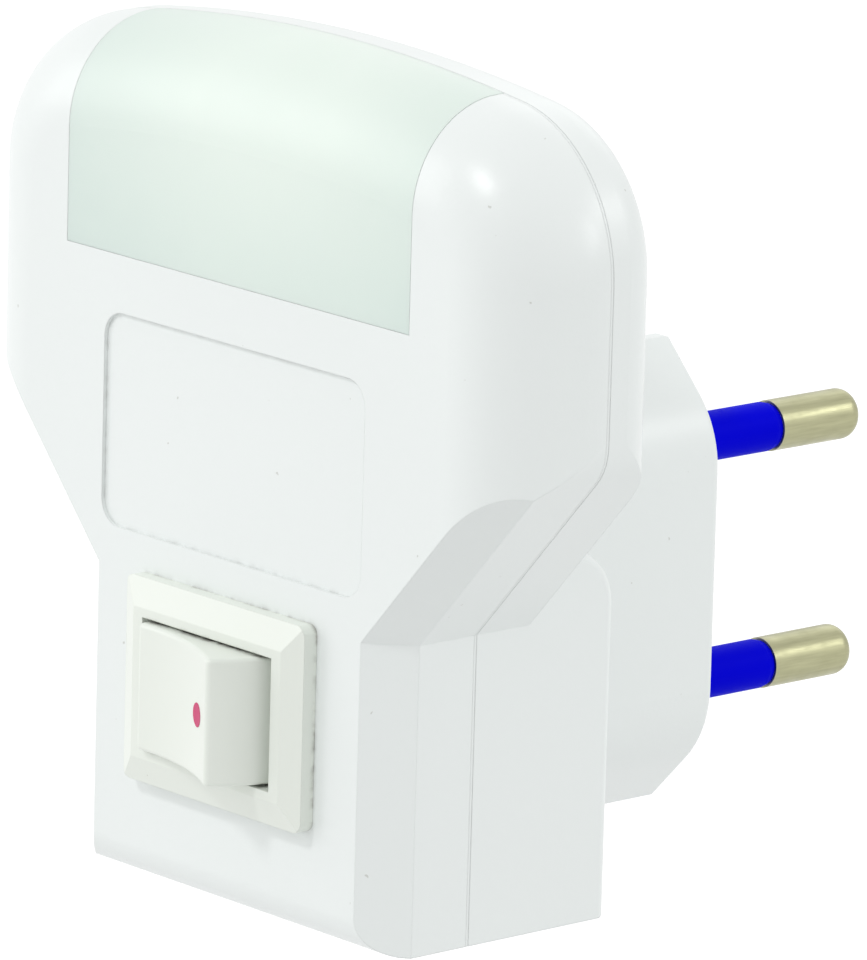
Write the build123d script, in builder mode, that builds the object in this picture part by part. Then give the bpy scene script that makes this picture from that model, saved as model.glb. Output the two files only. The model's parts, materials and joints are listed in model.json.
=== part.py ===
from build123d import *
import os
from math import cos, hypot, pi, radians, sin, sqrt, tan

# A switched LED night light that hangs on its own two-pin plug.
#
# Millimetres. The origin is the middle of the plug's engagement face. +Y points into the
# socket, +X is to the right as seen from the front of the lamp, +Z is up. "Depth" is the
# distance in front of the engagement face, so depth d lies at Y = -d.

# Two-pole plug, unearthed, 2.5 A pattern
pin_spacing = 19.0
pin_diameter = 4.0
pin_reach = 19.5  # engagement face to pin tip
pin_core_diameter = 3.0  # where the sleeve covers it
pin_tip_radius = 1.2
pin_shank_diameter = 4.4  # the part held in the boss
shank_gap = 0.05
pin_collar_diameter = 6.4
pin_collar_thickness = 1.5
pin_tail_diameter = 2.6
pin_tail_length = 4.5  # behind the collar
sleeve_length = 11.0  # outside the engagement face
sleeve_seat = 2.0  # inside the engagement face
sleeve_step = 0.05  # sleeve's surface below that of the bare pin
sleeve_ease = 0.15  # how much the sleeve's free end narrows, over the ease length
sleeve_ease_length = 0.6
pin_passage_gap = 0.05
plug_width = 13.4
plug_flank_margin = 2.5  # from a pin's axis to the corner above or below it
plug_point_height = 6.2  # from that corner to the end of the plug
plug_tip_width = 1.2
plug_corner_radius = 8.5
plug_rim_radius = 0.6
plug_wall = 1.8
plug_floor = 3.0
pin_boss_diameter = 7.6
pin_boss_length = 5.0

# Plate and screw that hold the pins' collars
clamp_thickness = 2.2
clamp_width = 7.8
clamp_end = 4.1  # beyond a pin's axis
clamp_corner = 3.5
clamp_screw_diameter = 2.2
clamp_screw_length = 6.0
clamp_head_diameter = 4.2
clamp_head_height = 1.5
clamp_boss_diameter = 5.6
hole_gap = 0.15

# Housing
front_depth = 43.3
seam_height = 8.5  # seam to front face
head_thickness = 13.8
stem_thickness = 22.3
wall = 2.0
head_width = 64.0
crown_z = 45.3
crown_radius = 155.0
corner_radius = 12.0
front_rim_radius = 8.0
back_rim_radius = 3.5
stem_width = 36.5
stem_bottom = -20.5
stem_top = 8.2  # upper end of the deep part, behind the head
stem_top_radius = 4.5
stem_edge_radius = 0.8
toe_radius = 2.8
knee_z = 3.3  # where the wing's underside leaves the stem
wing_slope = 1.1
wing_radius = 4.5
front_bevel = 3.06
inside_radius = 0.3
tongue_thickness = 0.9
tongue_height = 1.4
tongue_gap = 0.1
parting_width = 0.24  # shallow groove along the seam
parting_depth = 0.2

# Label field on the front, left blank
label_width = 30.0
label_height = 16.4
label_z = 14.55
label_corner = 2.0
label_depth = 0.3

# Lens
lens_width = 39.1
lens_bottom = 27.3
lens_wall = 1.8
lens_gap = 0.12
lens_flange = 1.6
lens_flange_wall = 1.0

# Rocker switch, small snap-in pattern
switch_z = -4.3
bezel_width = 20.6
bezel_height = 15.8
bezel_edge = 1.2
bezel_rise = 2.0
bezel_frame = 1.05  # flat rim beside the window
bezel_sill = 0.7  # flat rim above and below it
bezel_corner = 0.8
window_width = 15.0
window_height = 10.2
body_end_wall = 0.9
body_side_wall = 1.15
body_floor = 1.2
cutout_gap = 0.1
latch_reach = 0.6
latch_width = 6.0
latch_length = 5.0
pivot_drop = 1.0  # pivot behind the front panel
trunnion_diameter = 2.4
trunnion_length = 1.0
trunnion_gap = 0.05
rocker_tilt = 14.0
rocker_gap = 0.2
window_gap = 0.3  # tipped rocker's skirt to the end of the window
rocker_draft = 0.9  # how far each ridge stands inside the skirt's end
rocker_belly = 0.2  # how far the ends bulge
rocker_wall = 1.0
ridge_height = 5.4  # pivot to the ridges at both ends
dish_floor = 4.5  # pivot to the middle of the dished front
skirt_end = 2.4  # pivot to the lower edge of the skirt
ridge_radius = 0.45
rocker_edge_radius = 0.35
rounded_edges = 5  # on each side of the rocker: dish, both ridges and both ends
barrel_diameter = 4.0
barrel_bore = 2.6
barrel_end = 3.6
plunger_diameter = 2.4
spring_room = 4.1
plunger_flat = 0.2
plunger_gap = 0.1
spring_turns = 4
spring_wire = 0.35
lever_drop = 8.75  # rocker's pivot to the lever's
lever_tilt = 7.0
lever_length = 13.0
lever_width = 4.0
lever_thickness = 0.6
lever_gap = 0.05
contact_diameter = 2.4
contact_height = 0.45
contact_offset = 5.3
contact_gap = 0.05
foot_thickness = 0.7
terminal_thickness = 0.8
terminal_width = 4.8
terminal_reach = 6.0  # outside the switch body
load_terminal_x = -6.5
slot_gap = 0.05
blade_hole = 1.4
blade_hole_inset = 2.0

# Circuit board
board_seam_drop = 2.2  # board's back behind the seam
board_thickness = 1.6
board_width = 36.4
board_headroom = 5.3  # crown to the board's upper edge
board_step_z = 17.0
board_stem_room = 4.05  # stem's side to the board's foot
board_foot_z = 2.7
peg_margin = 2.2
board_peg_diameter = 2.6
board_peg_gap = 0.15
peg_shoulder = 4.2
seat_gap = 0.1

# What the board carries; a place is the middle of a component, across and up
solder_reach = 0.7
lead_wire = 0.6
lead_gap = 0.1
lead_bend = 0.8
body_round = 0.3
led_count = 4
led_pitch = 9.0
led_drop = 5.0  # below the board's upper edge
led_diameter = 4.8
led_height = 4.6
led_dome_radius = 2.0
led_flange_diameter = 5.4
led_flange_height = 1.0
led_lead_pitch = 2.54
film_width = 13.0
film_height = 9.0
film_thickness = 5.5
film_corner = 0.6
film_place = (-9.6, 26.0)
film_pitch = 10.0
can_diameter = 6.3
can_length = 11.5
can_place = (6.9, 22.3)
can_pitch = 2.5
can_lead_reach = 1.4
diode_diameter = 2.7
diode_length = 5.2
diode_pitch = 8.6
diode_count = 4
diode_step = 3.4
first_diode = (-9.4, 11.9)
fusible_diameter = 3.2
fusible_length = 7.0
fusible_pitch = 10.0
fusible_place = (6.4, 12.6)
bleed_diameter = 2.3
bleed_length = 6.3
bleed_pitch = 10.0
bleed_place = (10.6, 12.6)

# Cover screws and the posts that they hold together
screw_side_margin = 6.0  # from the side of the head or the stem
head_screw_z = 26.0
screw_foot_margin = 5.6
screw_diameter = 2.9
screw_head_diameter = 5.2
screw_head_height = 1.9
screw_length = 8.5
screw_hole = 3.3
screw_well_diameter = 5.8
screw_seat_drop = 3.1  # behind the seam
screw_post_diameter = 7.6
front_post_diameter = 6.4
pilot_gap = 0.05
pilot_room = 0.5
screw_head_round = 0.5
post_drop = 1.4  # end of the rear posts behind the seam
post_gap = 0.1

# Internal leads
cable_diameter = 1.6
run_share = 0.45
neutral_pad_z = 11.4
switched_pad_z = 4.1
line_run = 3.5  # straight out of the pin, and into the blade
neutral_pin_run = 7.0
neutral_pad_run = 7.5
switched_rise = 4.0
switched_slant = 2.6

# Plug and pins
pin_z = pin_spacing / 2
sleeve_radius = pin_diameter / 2 - sleeve_step
pin_passage = pin_diameter + 2 * pin_passage_gap
shank_bore = pin_shank_diameter + 2 * shank_gap
plug_flank_z = pin_z + plug_flank_margin
plug_end_z = plug_flank_z + plug_point_height
collar_depth = plug_floor + pin_boss_length
clamp_depth = collar_depth + pin_collar_thickness
pin_end_depth = clamp_depth + pin_tail_length
clamp_height = pin_spacing + 2 * clamp_end
clamp_front = clamp_depth + clamp_thickness
clamp_pilot_end = clamp_front - clamp_screw_length - pilot_room

# Housing, board and screws
seam_depth = front_depth - seam_height
head_back = front_depth - head_thickness
stem_back = front_depth - stem_thickness
board_back = seam_depth - board_seam_drop
board_front = board_back + board_thickness
board_top = crown_z - board_headroom
board_side = board_width / 2
board_foot = stem_width / 2 - board_stem_room
solder_end = board_back - solder_reach
upper_peg = (board_side - peg_margin, board_step_z + peg_margin)
lower_peg = (board_foot - peg_margin, board_foot_z + peg_margin)
screw_seat_depth = seam_depth - screw_seat_drop
screw_end = screw_seat_depth + screw_length
pilot_end = screw_end + pilot_room
post_end = seam_depth - post_drop
head_screw = (head_width / 2 - screw_side_margin, head_screw_z)
stem_screw = (stem_width / 2 - screw_side_margin, stem_bottom + screw_foot_margin)

# Switch, from the front panel inwards
pivot_depth = front_depth - pivot_drop
rocker_half = window_height / 2 - rocker_gap
skirt_swing = skirt_end * sin(radians(rocker_tilt))
skirt_half = (window_width / 2 - window_gap - skirt_swing) / cos(radians(rocker_tilt))
body_width = window_width + 2 * body_end_wall
body_height = window_height + 2 * body_side_wall
cutout_width = body_width + 2 * cutout_gap
cutout_height = body_height + 2 * cutout_gap
latch_depth = front_depth - wall - cutout_gap
lever_pivot_depth = pivot_depth - lever_drop
lever_back = terminal_thickness / 2 + lever_gap
plunger_reach = lever_drop - lever_back - lever_thickness - plunger_gap
contact_sink = (contact_offset + contact_diameter / 2) * sin(radians(lever_tilt))
closed_depth = lever_pivot_depth + lever_back - contact_height - contact_sink
foot_top = closed_depth - contact_gap - contact_height
floor_depth = foot_top - foot_thickness
body_back = floor_depth - body_floor
blade_end = body_back - terminal_reach
blade_hole_depth = blade_end + blade_hole_inset
far = 100.0

os.makedirs("parts", exist_ok=True)


def depth_plane(depth):
    """Plane parallel to the wall at this depth, looking forward, with X across and Z up."""
    return Plane.XZ.offset(depth)


def drawn_in_radius(radius, inset):
    """Radius of an edge once its two faces are drawn in; inside corners keep a small radius."""
    return max(radius - inset, inside_radius)


def head_outline(inset):
    """Front view of the head: upright sides and an arched top, all drawn in by inset."""
    half = head_width / 2 - inset
    radius = crown_radius - inset
    centre = crown_z - crown_radius
    shoulder = centre + sqrt(radius**2 - half**2)
    with BuildSketch() as outline:
        with BuildLine():
            Polyline((half, shoulder), (half, stem_bottom), (-half, stem_bottom), (-half, shoulder))
            ThreePointArc((-half, shoulder), (0, centre + radius), (half, shoulder))
        make_face()
        fillet(outline.vertices().group_by(Axis.Y)[-1], drawn_in_radius(corner_radius, inset))
    return outline.sketch


def lower_outline(inset, drawn_in=0.0):
    """Front view of the stem and the sloping undersides of the wings."""
    half = stem_width / 2 - inset - drawn_in
    side = head_width / 2 - inset
    knee = knee_z + inset * (hypot(1, wing_slope) - wing_slope)
    tip = knee + wing_slope * (side - half)
    bottom = stem_bottom + inset
    top = crown_z + wall
    right_side = [(half, bottom), (half, knee), (side, tip), (side, top)]
    left_side = [(-x, z) for x, z in reversed(right_side)]
    with BuildSketch() as outline:
        with BuildLine():
            Polyline(*right_side, *left_side, close=True)
        make_face()
        tips = outline.vertices().filter_by_position(Axis.Y, tip - inside_radius, tip + inside_radius)
        fillet(tips, drawn_in_radius(wing_radius, inset))
    return outline.sketch


def rim(face):
    """Every edge of an end face of the head but the lowest one."""
    return face.edges().sort_by(Axis.Z)[1:]


def housing_form(inset):
    """The closed outer form of the housing without its plug, every wall drawn in by inset."""
    front = front_depth - inset
    back = head_back + inset
    bevel = front_bevel - inset * (2 - sqrt(2))
    with BuildPart() as form:
        with BuildSketch(depth_plane(back)):
            add(head_outline(inset))
        extrude(amount=front - back)
        fillet(rim(form.faces().sort_by(Axis.Y)[0]), drawn_in_radius(front_rim_radius, inset))
        fillet(rim(form.faces().sort_by(Axis.Y)[-1]), drawn_in_radius(back_rim_radius, inset))
    with BuildPart() as lower:
        with BuildSketch(depth_plane(front - bevel)):
            add(lower_outline(inset))
        with BuildSketch(depth_plane(front)):
            add(lower_outline(inset, bevel))
        loft(ruled=True)
        with BuildSketch(depth_plane(back)):
            add(lower_outline(inset))
        extrude(amount=front - bevel - back)
        toe = lower.faces().sort_by(Axis.Y)[0].edges().sort_by(Axis.Z)[0]
        fillet(toe, drawn_in_radius(toe_radius, inset))
    with BuildPart() as deep:
        with BuildSketch(depth_plane(stem_back + inset)):
            with Locations((0, (stem_top + stem_bottom) / 2)):
                Rectangle(stem_width - 2 * inset, stem_top - stem_bottom - 2 * inset)
        extrude(amount=seam_depth - stem_back - inset)
        top_edge = deep.edges().filter_by(Axis.X).group_by(Axis.Y)[-1].sort_by(Axis.Z)[-1]
        fillet(top_edge, drawn_in_radius(stem_top_radius, inset))
        if inset < stem_edge_radius:
            sides = deep.edges().filter_by(Axis.Z).group_by(Axis.Y)[-1]
            base = deep.edges().filter_by(Axis.X).group_by(Axis.Y)[-1].sort_by(Axis.Z)[0]
            fillet([*sides, base], stem_edge_radius - inset)
    with BuildPart() as housing:
        add(form.part)
        add(lower.part, mode=Mode.INTERSECT)
        add(deep.part)
    return housing.part


def plug_outline(inset):
    """Elongated hexagon of the plug with rounded flanks, standing upright, drawn in by inset."""
    half = plug_width / 2
    tip = plug_tip_width / 2
    right_side = [(tip, -plug_end_z), (half, -plug_flank_z), (half, plug_flank_z), (tip, plug_end_z)]
    left_side = [(-x, z) for x, z in reversed(right_side)]
    with BuildSketch() as outline:
        with BuildLine():
            Polyline(*right_side, *left_side, close=True)
        make_face()
        flanks = outline.vertices().group_by(Axis.X)
        fillet([*flanks[0], *flanks[-1]], plug_corner_radius)
        if inset:
            offset(amount=-inset, kind=Kind.INTERSECTION)
    return outline.sketch


def between(start, end):
    """A slab wider than the whole lamp between two depths."""
    with BuildPart() as slab:
        with BuildSketch(depth_plane(start)):
            Rectangle(far, far)
        extrude(amount=end - start)
    return slab.part


def posts(places, diameter, start, end):
    """Round posts or holes along the lamp's depth."""
    with BuildPart() as group:
        with BuildSketch(depth_plane(start)):
            with Locations(*places):
                Circle(diameter / 2)
        extrude(amount=end - start)
    return group.part


def lens_block(margin, start):
    """The block of space over the lens, this much larger than the lens on its three edges."""
    bottom = lens_bottom - margin
    with BuildPart() as block:
        with BuildSketch(depth_plane(start)):
            with Locations((0, (bottom + far) / 2)):
                Rectangle(lens_width + 2 * margin, far - bottom)
        extrude(amount=far)
    return block.part


def switch_box(width, height, start, end):
    """A block centred on the switch between two depths."""
    with BuildPart() as box:
        with BuildSketch(depth_plane(start)):
            with Locations((0, switch_z)):
                Rectangle(width, height)
        extrude(amount=end - start)
    return box.part


def tipped(piece, depth, angle):
    """The piece turned about an upright axis at this depth; positive moves the right end in."""
    return piece.rotate(Axis((0, -depth, 0), (0, 0, 1)), angle)


def pair(place, pitch, direction):
    """Two places this far apart about a middle place, along a direction."""
    x, z = place
    dx, dz = direction[0] * pitch / 2, direction[1] * pitch / 2
    return [(x - dx, z - dz), (x + dx, z + dz)]


def both_sides(place):
    """A place and its mirror image."""
    x, z = place
    return [(x, z), (-x, z)]


outer_form = housing_form(0)
inner_form = housing_form(wall)
pin_places = [(0, pin_z), (0, -pin_z)]
centre_place = [(0, 0)]
switch_place = [(0, switch_z)]
stem_screws = both_sides(stem_screw)
stem_pegs = both_sides(lower_peg)
screw_places = both_sides(head_screw) + stem_screws
board_pegs = both_sides(upper_peg) + stem_pegs

# Posts inside the front shell: four for the cover screws, four that press on the board
with BuildPart() as front_posts:
    add(posts(screw_places, front_post_diameter, post_end + post_gap, front_depth))
    add(posts(board_pegs, peg_shoulder, board_front + seat_gap, front_depth))
    add(outer_form, mode=Mode.INTERSECT)
    add(posts(screw_places, screw_diameter + 2 * pilot_gap, post_end, pilot_end), mode=Mode.SUBTRACT)

# Step inside the front shell's edge that takes the rear shell's tongue
with BuildPart() as tongue_seat:
    add(housing_form(wall - tongue_thickness))
    add(between(seam_depth, seam_depth + tongue_height + tongue_gap), mode=Mode.INTERSECT)

# Shallow groove all round the outside, where the two shells part
with BuildPart() as parting_groove:
    add(outer_form)
    add(housing_form(parting_depth), mode=Mode.SUBTRACT)
    add(between(seam_depth - parting_width / 2, seam_depth + parting_width / 2), mode=Mode.INTERSECT)

# Front shell: everything in front of the seam, less the cavity, the lens and the switch
with BuildPart() as front_cover:
    add(outer_form)
    add(between(seam_depth, far), mode=Mode.INTERSECT)
    add(inner_form, mode=Mode.SUBTRACT)
    add(tongue_seat.part, mode=Mode.SUBTRACT)
    add(front_posts.part)
    add(lens_block(lens_gap, seam_depth), mode=Mode.SUBTRACT)
    add(switch_box(cutout_width, cutout_height, seam_depth, front_depth), mode=Mode.SUBTRACT)
    with BuildSketch(depth_plane(front_depth - label_depth)):
        with Locations((0, label_z)):
            RectangleRounded(label_width, label_height, label_corner)
    extrude(amount=label_depth, mode=Mode.SUBTRACT)
    add(parting_groove.part, mode=Mode.SUBTRACT)
front_cover.part.label = "front_cover"
export_step(front_cover.part, "parts/front_cover.step")

# Tongue on the rear shell, left out where the lens passes
with BuildPart() as tongue:
    add(housing_form(wall - tongue_thickness + tongue_gap))
    add(between(seam_depth - wall, seam_depth + tongue_height), mode=Mode.INTERSECT)
    add(lens_block(lens_gap, seam_depth), mode=Mode.SUBTRACT)

# Posts inside the rear shell: wells for the cover screws and shouldered pegs for the board
with BuildPart() as rear_posts:
    add(posts(screw_places, screw_post_diameter, head_back, post_end))
    add(posts(stem_screws, screw_post_diameter, stem_back, post_end))
    add(posts(board_pegs, peg_shoulder, head_back, board_back))
    add(posts(stem_pegs, peg_shoulder, stem_back, board_back))
    add(posts(board_pegs, board_peg_diameter, head_back, board_front))
    add(outer_form, mode=Mode.INTERSECT)

# Plug body, moulded in one with the rear shell
with BuildPart() as plug_body:
    with BuildSketch(depth_plane(0)):
        add(plug_outline(0))
    extrude(amount=head_back + wall)
    fillet(plug_body.faces().sort_by(Axis.Y)[-1].edges(), plug_rim_radius)

# Rear shell: the rest of the housing, the hollow plug, the tongue and the posts
with BuildPart() as rear_cover:
    add(outer_form)
    add(between(0, seam_depth), mode=Mode.INTERSECT)
    add(plug_body.part)
    add(tongue.part)
    add(inner_form, mode=Mode.SUBTRACT)
    with BuildSketch(depth_plane(plug_floor)):
        add(plug_outline(plug_wall))
    extrude(amount=seam_depth - plug_floor, mode=Mode.SUBTRACT)
    add(rear_posts.part)
    add(posts(screw_places, screw_well_diameter, 0, screw_seat_depth), mode=Mode.SUBTRACT)
    add(posts(screw_places, screw_hole, 0, front_depth), mode=Mode.SUBTRACT)
    add(posts(pin_places, pin_boss_diameter, plug_floor, collar_depth))
    add(posts(centre_place, clamp_boss_diameter, plug_floor, clamp_depth))
    add(posts(pin_places, pin_passage, 0, collar_depth), mode=Mode.SUBTRACT)
    add(posts(pin_places, shank_bore, sleeve_seat, collar_depth), mode=Mode.SUBTRACT)
    add(posts(centre_place, clamp_screw_diameter + 2 * pilot_gap, clamp_pilot_end, clamp_depth),
        mode=Mode.SUBTRACT)
    add(parting_groove.part, mode=Mode.SUBTRACT)
rear_cover.part.label = "rear_cover"
export_step(rear_cover.part, "parts/rear_cover.step")

# Lens: a pane flush with the front shell, with a flange behind the shell's edge
with BuildPart() as lens_pane:
    add(outer_form)
    add(lens_block(0, seam_depth), mode=Mode.INTERSECT)

with BuildPart() as lens_hollow:
    add(housing_form(lens_wall))
    add(lens_block(-lens_flange, seam_depth), mode=Mode.INTERSECT)

with BuildPart() as diffuser_lens:
    add(housing_form(wall + lens_gap))
    add(lens_block(lens_flange, seam_depth), mode=Mode.INTERSECT)
    add(lens_pane.part)
    add(housing_form(wall + lens_gap + lens_flange_wall), mode=Mode.SUBTRACT)
    add(lens_hollow.part, mode=Mode.SUBTRACT)
diffuser_lens.part.label = "diffuser_lens"
export_step(diffuser_lens.part, "parts/diffuser_lens.step")


def plug_pin(height):
    """A turned pin: bare tip, thinner core under the sleeve, shank, collar and solder tail."""
    tip = pin_diameter / 2
    core = pin_core_diameter / 2
    shank = pin_shank_diameter / 2
    collar = pin_collar_diameter / 2
    tail = pin_tail_diameter / 2
    outline = [
        (0, pin_reach), (tip, pin_reach), (tip, sleeve_length), (core, sleeve_length),
        (core, -sleeve_seat), (shank, -sleeve_seat), (shank, -collar_depth), (collar, -collar_depth),
        (collar, -clamp_depth), (tail, -clamp_depth), (tail, -pin_end_depth), (0, -pin_end_depth),
    ]
    with BuildPart() as pin:
        with BuildSketch(Plane.XY.offset(height)):
            with BuildLine():
                Polyline(*outline, close=True)
            make_face()
        revolve(axis=Axis((0, 0, height), (0, 1, 0)))
        fillet(pin.edges().sort_by(Axis.Y)[-1], pin_tip_radius)
    return pin.part


def pin_sleeve(height):
    """The insulating sleeve on a pin's root, its free end slightly narrowed."""
    core = pin_core_diameter / 2
    outline = [
        (core, -sleeve_seat), (sleeve_radius, -sleeve_seat),
        (sleeve_radius, sleeve_length - sleeve_ease_length),
        (sleeve_radius - sleeve_ease, sleeve_length), (core, sleeve_length),
    ]
    with BuildPart() as sleeve:
        with BuildSketch(Plane.XY.offset(height)):
            with BuildLine():
                Polyline(*outline, close=True)
            make_face()
        revolve(axis=Axis((0, 0, height), (0, 1, 0)))
    return sleeve.part


with BuildPart() as upper_pin:
    add(plug_pin(pin_z))
upper_pin.part.label = "upper_pin"
export_step(upper_pin.part, "parts/upper_pin.step")

with BuildPart() as lower_pin:
    add(plug_pin(-pin_z))
lower_pin.part.label = "lower_pin"
export_step(lower_pin.part, "parts/lower_pin.step")

with BuildPart() as upper_pin_sleeve:
    add(pin_sleeve(pin_z))
upper_pin_sleeve.part.label = "upper_pin_sleeve"
export_step(upper_pin_sleeve.part, "parts/upper_pin_sleeve.step")

with BuildPart() as lower_pin_sleeve:
    add(pin_sleeve(-pin_z))
lower_pin_sleeve.part.label = "lower_pin_sleeve"
export_step(lower_pin_sleeve.part, "parts/lower_pin_sleeve.step")

# Plate that holds both collars down on their bosses
with BuildPart() as pin_clamp:
    with BuildSketch(depth_plane(clamp_depth)):
        RectangleRounded(clamp_width, clamp_height, clamp_corner)
        Circle(clamp_screw_diameter / 2 + hole_gap, mode=Mode.SUBTRACT)
        with Locations(*pin_places):
            Circle(pin_tail_diameter / 2 + hole_gap, mode=Mode.SUBTRACT)
    extrude(amount=clamp_thickness)
pin_clamp.part.label = "pin_clamp"
export_step(pin_clamp.part, "parts/pin_clamp.step")

with BuildPart() as clamp_screw:
    add(posts(centre_place, clamp_head_diameter, clamp_front, clamp_front + clamp_head_height))
    fillet(clamp_screw.edges().sort_by(Axis.Y)[0], screw_head_round)
    add(posts(centre_place, clamp_screw_diameter, clamp_front - clamp_screw_length, clamp_front))
clamp_screw.part.label = "clamp_screw"
export_step(clamp_screw.part, "parts/clamp_screw.step")

with BuildPart() as cover_screws:
    head_start = screw_seat_depth - screw_head_height
    add(posts(screw_places, screw_head_diameter, head_start, screw_seat_depth))
    fillet(cover_screws.edges().group_by(Axis.Y)[-1], screw_head_round)
    add(posts(screw_places, screw_diameter, screw_seat_depth, screw_end))
cover_screws.part.label = "cover_screws"
export_step(cover_screws.part, "parts/cover_screws.step")

# Bezel of the switch: a flat rim round the window, bevelled down to all four sides
with BuildPart() as bezel:
    with BuildSketch(depth_plane(front_depth + bezel_edge)):
        with Locations((0, switch_z)):
            Rectangle(bezel_width, bezel_height)
    with BuildSketch(depth_plane(front_depth + bezel_rise)):
        with Locations((0, switch_z)):
            Rectangle(window_width + 2 * bezel_frame, window_height + 2 * bezel_sill)
    loft(ruled=True)
    add(switch_box(bezel_width, bezel_height, front_depth, front_depth + bezel_edge))
    with BuildSketch(depth_plane(front_depth)):
        with Locations((0, switch_z)):
            RectangleRounded(bezel_width, bezel_height, bezel_corner)
    extrude(amount=bezel_rise, mode=Mode.INTERSECT)

# Barbs at both ends that snap behind the front panel
with BuildPart() as barbs:
    with BuildSketch(Plane.XY.offset(switch_z - latch_width / 2)):
        with BuildLine():
            Polyline(
                (body_width / 2 - body_end_wall / 2, -latch_depth),
                (body_width / 2 + latch_reach, -latch_depth),
                (body_width / 2, -latch_depth + latch_length),
                (body_width / 2 - body_end_wall / 2, -latch_depth + latch_length),
                close=True,
            )
        make_face()
        mirror(about=Plane.YZ)
    extrude(amount=latch_width)

with BuildPart() as switch_housing:
    add(bezel.part)
    add(switch_box(body_width, body_height, body_back, front_depth))
    add(barbs.part)
    add(switch_box(window_width, window_height, floor_depth, front_depth + bezel_rise),
        mode=Mode.SUBTRACT)
    with BuildSketch(Plane.XY.offset(switch_z - body_height / 2)):
        with Locations((0, -pivot_depth)):
            Circle(trunnion_diameter / 2 + trunnion_gap)
    extrude(amount=body_height, mode=Mode.SUBTRACT)
    with BuildSketch(depth_plane(body_back)):
        with Locations((0, switch_z), (load_terminal_x, switch_z)):
            Rectangle(terminal_thickness + 2 * slot_gap, terminal_width + 2 * slot_gap)
    extrude(amount=body_floor, mode=Mode.SUBTRACT)
switch_housing.part.label = "switch_housing"
export_step(switch_housing.part, "parts/switch_housing.step")


def rocker_profile(inset):
    """Side view of the rocker about its pivot: dished front, bulging ends, upright skirts."""
    half = skirt_half - inset
    ridge = half - rocker_draft
    top = ridge_height - inset
    belly = (ridge + half) / 2 + rocker_belly
    with BuildSketch() as profile:
        with BuildLine():
            ThreePointArc((ridge, -top), (0, inset - dish_floor), (-ridge, -top))
            ThreePointArc((-ridge, -top), (-belly, -top / 2), (-half, 0))
            Polyline((-half, 0), (-half, skirt_end), (half, skirt_end), (half, 0))
            ThreePointArc((half, 0), (belly, -top / 2), (ridge, -top))
        make_face()
    return profile.sketch


# Rocker, level with its pivot axis along Z, before it is tipped to its rest position
with BuildPart() as level_rocker:
    with BuildSketch(Plane((0, -pivot_depth, switch_z - rocker_half))):
        add(rocker_profile(0))
    extrude(amount=2 * rocker_half)
    fillet(level_rocker.edges().filter_by(Axis.Z).group_by(Axis.Y)[0], ridge_radius)
    lower_side = level_rocker.faces().sort_by(Axis.Z)[0]
    fillet(lower_side.edges().sort_by(Axis.Y)[:rounded_edges], rocker_edge_radius)
    upper_side = level_rocker.faces().sort_by(Axis.Z)[-1]
    fillet(upper_side.edges().sort_by(Axis.Y)[:rounded_edges], rocker_edge_radius)
    with BuildSketch(Plane((0, -pivot_depth, switch_z - rocker_half + rocker_wall))):
        add(rocker_profile(rocker_wall))
    extrude(amount=2 * (rocker_half - rocker_wall), mode=Mode.SUBTRACT)
    with BuildSketch(Plane((0, -pivot_depth, switch_z - rocker_half - trunnion_length))):
        Circle(trunnion_diameter / 2)
    extrude(amount=trunnion_length + rocker_wall)
    with BuildSketch(Plane((0, -pivot_depth, switch_z + rocker_half - rocker_wall))):
        Circle(trunnion_diameter / 2)
    extrude(amount=trunnion_length + rocker_wall)
    with BuildSketch(depth_plane(pivot_depth - barrel_end)):
        with Locations((0, switch_z)):
            Circle(barrel_diameter / 2)
    extrude(amount=barrel_end + dish_floor - rocker_wall / 2)
    with BuildSketch(depth_plane(pivot_depth - barrel_end)):
        with Locations((0, switch_z)):
            Circle(barrel_bore / 2)
    extrude(amount=barrel_end + dish_floor - rocker_wall, mode=Mode.SUBTRACT)

with BuildPart() as rocker:
    add(tipped(level_rocker.part, pivot_depth, -rocker_tilt))
rocker.part.label = "rocker"
export_step(rocker.part, "parts/rocker.step")

# Plunger in the rocker's barrel, and the spring that drives it out
plunger_tip = pivot_depth - plunger_reach
spring_end = pivot_depth + dish_floor - rocker_wall
plunger_end = spring_end - spring_room

with BuildPart() as level_plunger:
    add(posts(switch_place, plunger_diameter, plunger_tip, plunger_end))
    fillet(level_plunger.edges().sort_by(Axis.Y)[-1], plunger_diameter / 2 - plunger_flat)

with BuildPart() as plunger:
    add(tipped(level_plunger.part, pivot_depth, -rocker_tilt))
plunger.part.label = "plunger"
export_step(plunger.part, "parts/plunger.step")

with BuildPart() as level_spring:
    coil_radius = (plunger_diameter - spring_wire) / 2
    coil_height = spring_end - plunger_end - spring_wire
    with BuildLine() as coil:
        Helix(
            pitch=coil_height / spring_turns,
            height=coil_height,
            radius=coil_radius,
            center=(0, -plunger_end - spring_wire / 2, switch_z),
            direction=(0, -1, 0),
        )
    with BuildSketch(Plane(origin=coil.line @ 0, z_dir=coil.line % 0)):
        Circle(spring_wire / 2)
    sweep(path=coil.line)

with BuildPart() as plunger_spring:
    add(tipped(level_spring.part, pivot_depth, -rocker_tilt))
plunger_spring.part.label = "plunger_spring"
export_step(plunger_spring.part, "parts/plunger_spring.step")

# See-saw contact, level, then tipped opposite to the rocker
with BuildPart() as level_lever:
    with BuildSketch(Plane((0, -lever_pivot_depth, switch_z - lever_width / 2))):
        with Locations((0, -lever_back - lever_thickness / 2)):
            Rectangle(lever_length, lever_thickness)
    extrude(amount=lever_width)
    lever_contact = [(-contact_offset, switch_z)]
    contact_face = lever_pivot_depth + lever_back
    add(posts(lever_contact, contact_diameter, contact_face - contact_height, contact_face))

with BuildPart() as contact_lever:
    add(tipped(level_lever.part, lever_pivot_depth, lever_tilt))
contact_lever.part.label = "contact_lever"
export_step(contact_lever.part, "parts/contact_lever.step")

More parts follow.
